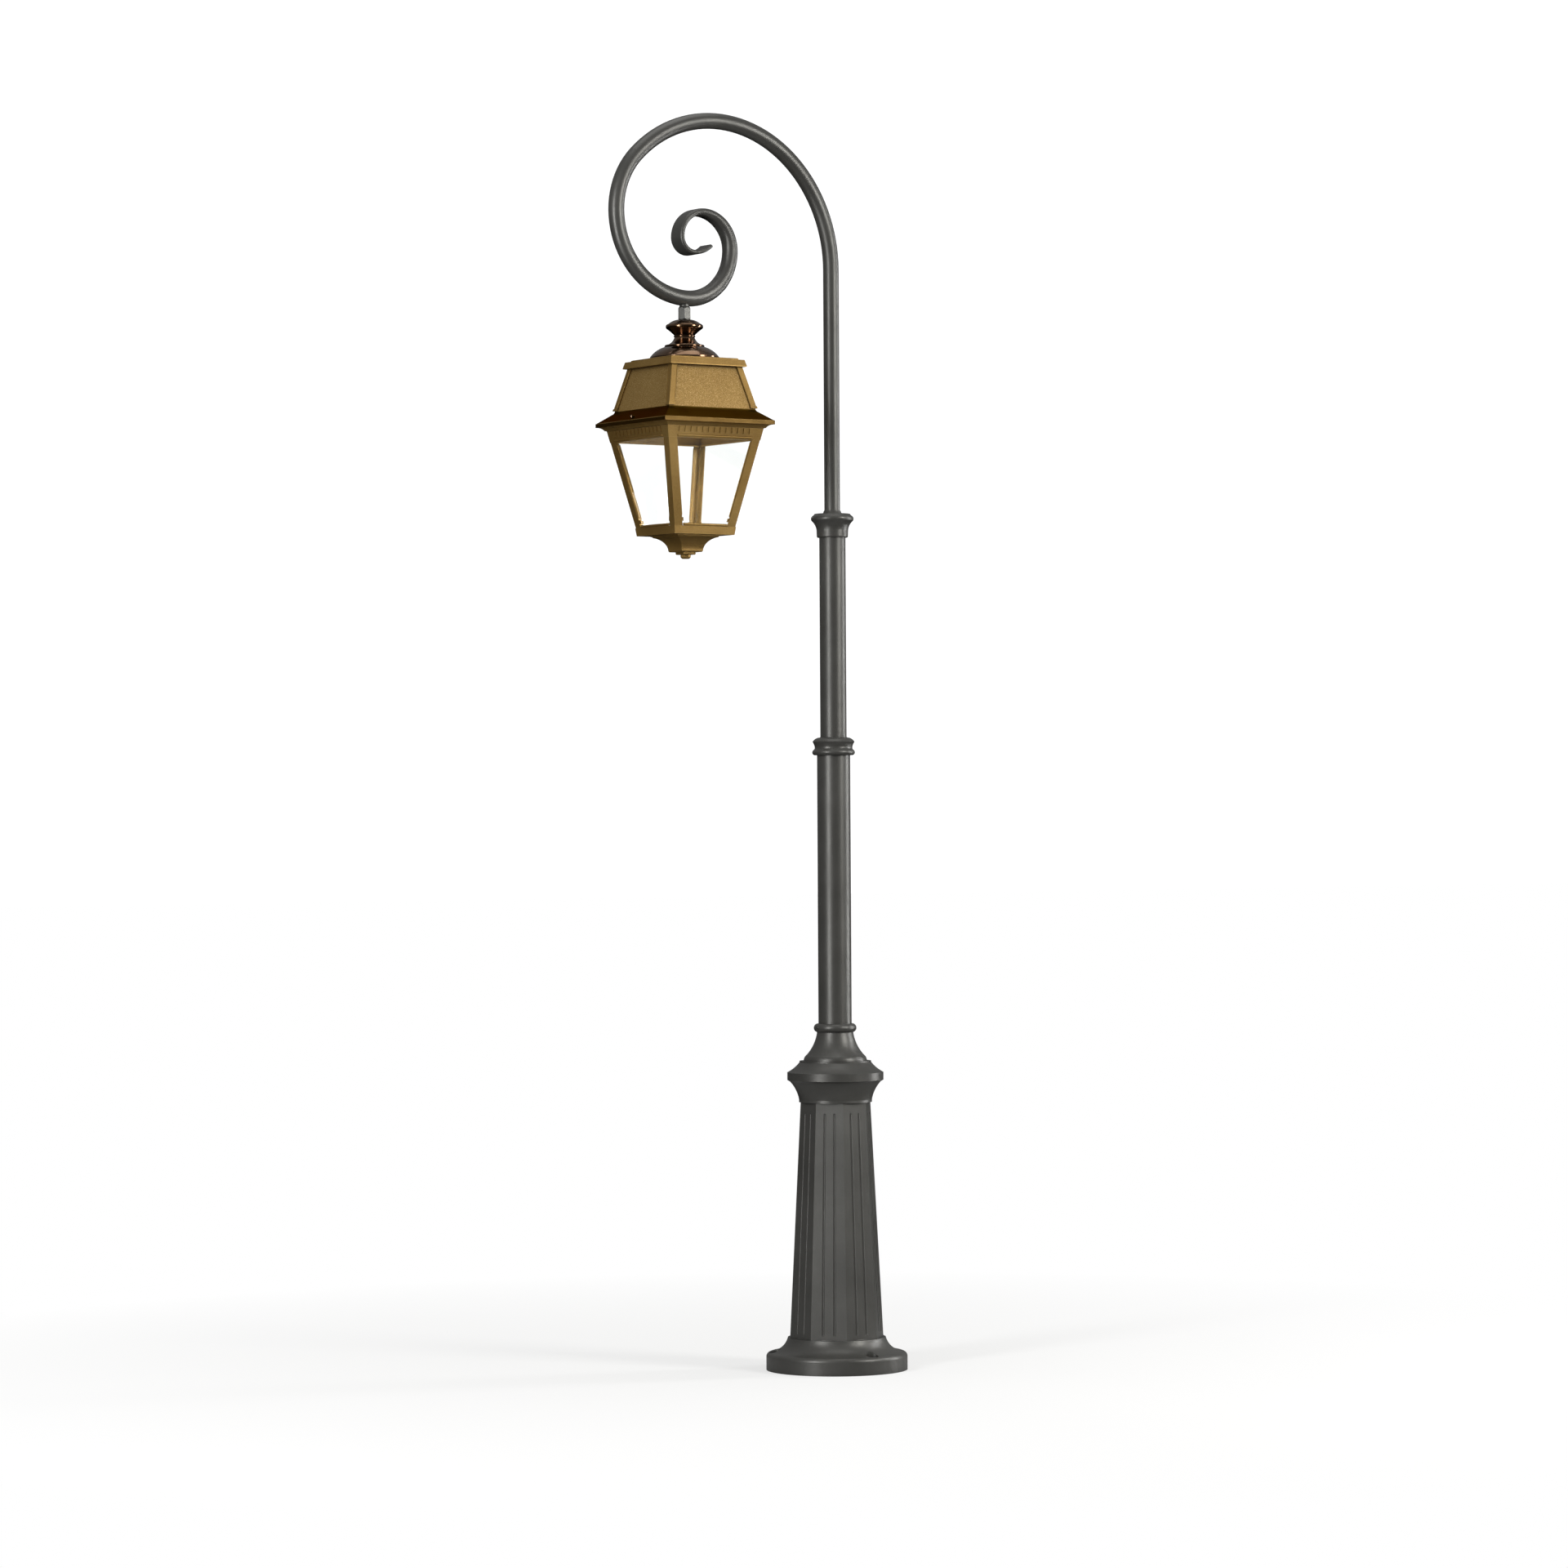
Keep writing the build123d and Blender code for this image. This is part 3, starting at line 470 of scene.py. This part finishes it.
def make_world():
    """White to the camera and through glass, but a dimmer sky for light and reflections."""
    world = bpy.data.worlds.new("studio")
    world.use_nodes = True
    tree = world.node_tree
    background = tree.nodes["Background"]
    path = tree.nodes.new("ShaderNodeLightPath")
    coords = tree.nodes.new("ShaderNodeTexCoord")
    split = tree.nodes.new("ShaderNodeSeparateXYZ")
    ramp = tree.nodes.new("ShaderNodeValToRGB")
    ramp.color_ramp.elements[0].position = 0.25
    ramp.color_ramp.elements[0].color = (0.16, 0.16, 0.16, 1.0)
    ramp.color_ramp.elements[1].position = 0.95
    ramp.color_ramp.elements[1].color = (0.38, 0.38, 0.38, 1.0)
    mix = tree.nodes.new("ShaderNodeMix")
    mix.data_type = "RGBA"
    tree.links.new(coords.outputs["Generated"], split.inputs[0])
    tree.links.new(split.outputs["Z"], ramp.inputs["Fac"])
    seen = tree.nodes.new("ShaderNodeMath")
    seen.operation = "MAXIMUM"
    tree.links.new(path.outputs["Is Camera Ray"], seen.inputs[0])
    tree.links.new(path.outputs["Is Transmission Ray"], seen.inputs[1])
    tree.links.new(seen.outputs[0], mix.inputs[0])
    tree.links.new(ramp.outputs["Color"], mix.inputs[6])
    mix.inputs[7].default_value = (1.12, 1.12, 1.12, 1.0)
    tree.links.new(mix.outputs[2], background.inputs["Color"])
    bpy.context.scene.world = world


def make_lights():
    """Rim strip behind on the right, broad key for the right-hand faces, narrow strip front left."""
    middle = Vector((-0.15, 0.0, 1.5))
    area_light("rim", middle + RIGHT * 4.2 - BACK * 1.4, middle, (0.7, 4.2), 135.0)
    warm = (1.0, 0.985, 0.95)
    area_light("key", middle + RIGHT * 4.6 + BACK * 2.6 + UP * 1.6, middle, (1.4, 3.0), 200.0, warm)
    area_light("left", middle - RIGHT * 2.6 + BACK * 3.4 + UP * 0.5, middle, (0.7, 4.0), 150.0)
    area_light("top", middle + UP * 4.5, middle, (3.0, 3.0), 50.0)
    fill = bpy.data.lights.new("lamp_space", "POINT")
    fill.energy = 1.1
    fill.shadow_soft_size = 0.05
    lamp_space = bpy.data.objects.new("lamp_space", fill)
    bpy.context.collection.objects.link(lamp_space)
    lamp_space.location = (LANTERN_X, 0.0, 1.95)
    lamp_space.visible_transmission = False
    lamp_space.visible_glossy = False


def make_floor():
    """Pale floor that takes a soft shadow round the foot and fades into the white backdrop."""
    mesh = bpy.data.meshes.new("floor")
    reach = 60.0
    corners = [(-reach, -reach, 0), (reach, -reach, 0), (reach, reach, 0), (-reach, reach, 0)]
    mesh.from_pydata(corners, [], [(0, 1, 2, 3)])
    floor = bpy.data.objects.new("floor", mesh)
    bpy.context.collection.objects.link(floor)
    s = Shader("floor")
    length = s.tree.nodes.new("ShaderNodeVectorMath")
    length.operation = "LENGTH"
    s.link(s.coords, length.inputs[0])
    fade = s.ramp(s.maths("DIVIDE", length.outputs["Value"], 3.0), [(0.12, 0.0), (0.85, 1.0)])
    pale = s.ramp(s.noise(0.5, 2.0), [(0.3, 0.34), (0.7, 0.36)])
    s.feed(s.bsdf.inputs["Base Color"], s.mix(fade, pale, (0.0, 0.0, 0.0)))
    path = s.tree.nodes.new("ShaderNodeLightPath")
    glow = s.mix(fade, (0.58, 0.58, 0.575), (1.0, 1.0, 1.0))
    s.feed(s.bsdf.inputs["Emission Color"], glow)
    s.set(Roughness=0.95, Specular_IOR_Level=0.0)
    seen = s.maths("MAXIMUM", path.outputs["Is Camera Ray"], path.outputs["Is Transmission Ray"])
    s.feed(s.bsdf.inputs["Emission Strength"], seen)
    mesh.materials.append(s.material)


def make_studio():
    bpy.context.scene.view_settings.view_transform = "Standard"
    make_world()
    make_lights()


make_camera()
make_studio()
make_floor()
